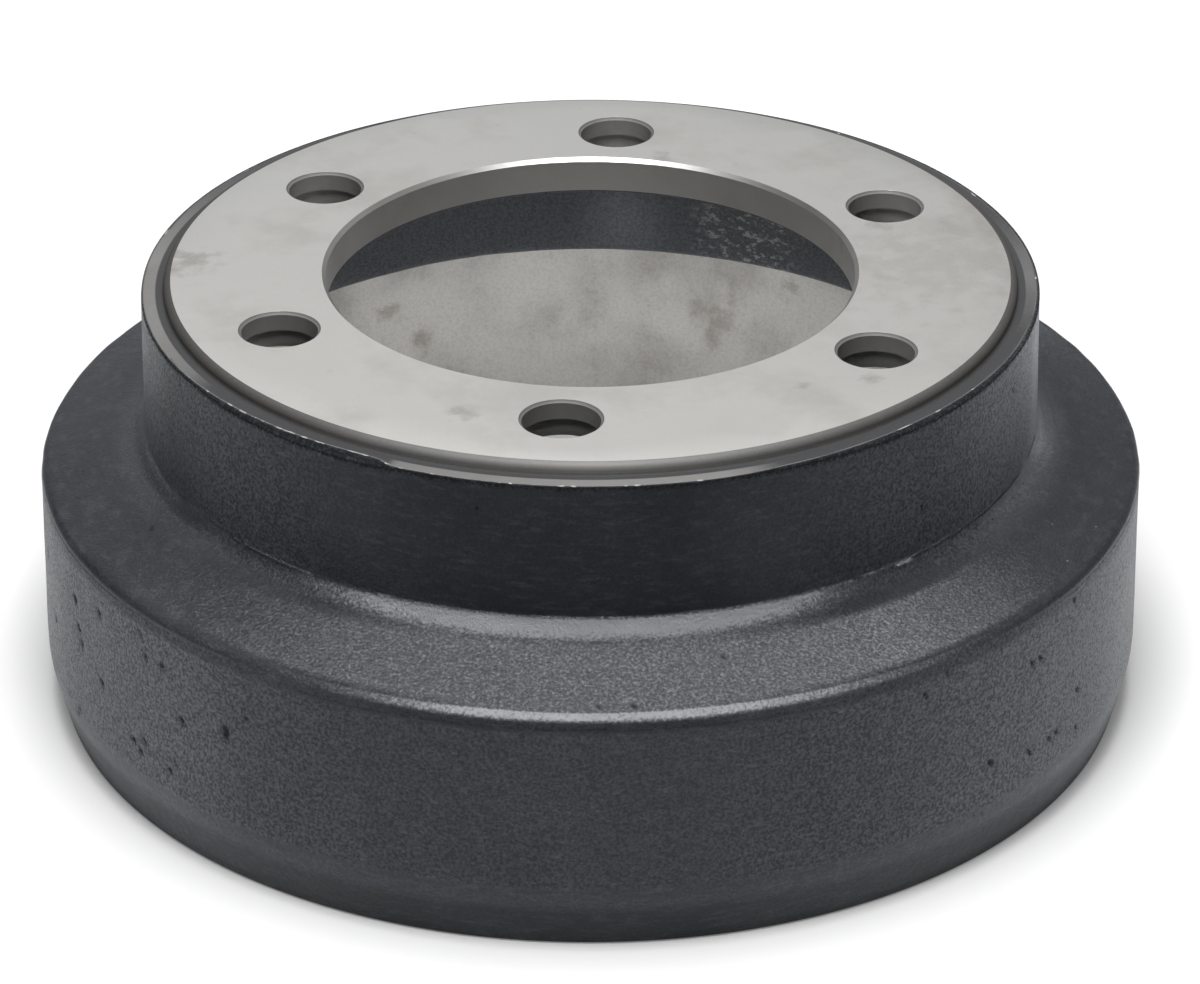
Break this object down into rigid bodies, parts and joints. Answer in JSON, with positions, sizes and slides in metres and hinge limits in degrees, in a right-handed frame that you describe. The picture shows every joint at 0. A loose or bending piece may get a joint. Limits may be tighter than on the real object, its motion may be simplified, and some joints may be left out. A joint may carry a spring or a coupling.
{
  "type": "brake drum",
  "caption": "Cast-iron brake drum: turned mounting flange with a pilot bore and a ring of stud holes, straight hat, sloping shoulder and wide friction ring.",
  "frame": {"origin": "centre of the open rim, in the plane that the drum stands on", "axes": "+Z along the drum's axis, from the open rim towards the mounting face; +Y through the first stud hole"},
  "size_m": [0.3436, 0.3436, 0.1363],
  "materials": {
    "cast_iron": "sandy casting under dark grey coating, with bare fine-turned machined faces"
  },
  "bodies": {
    "root": {"brake_drum": "cast_iron"}
  },
  "joints": []
}
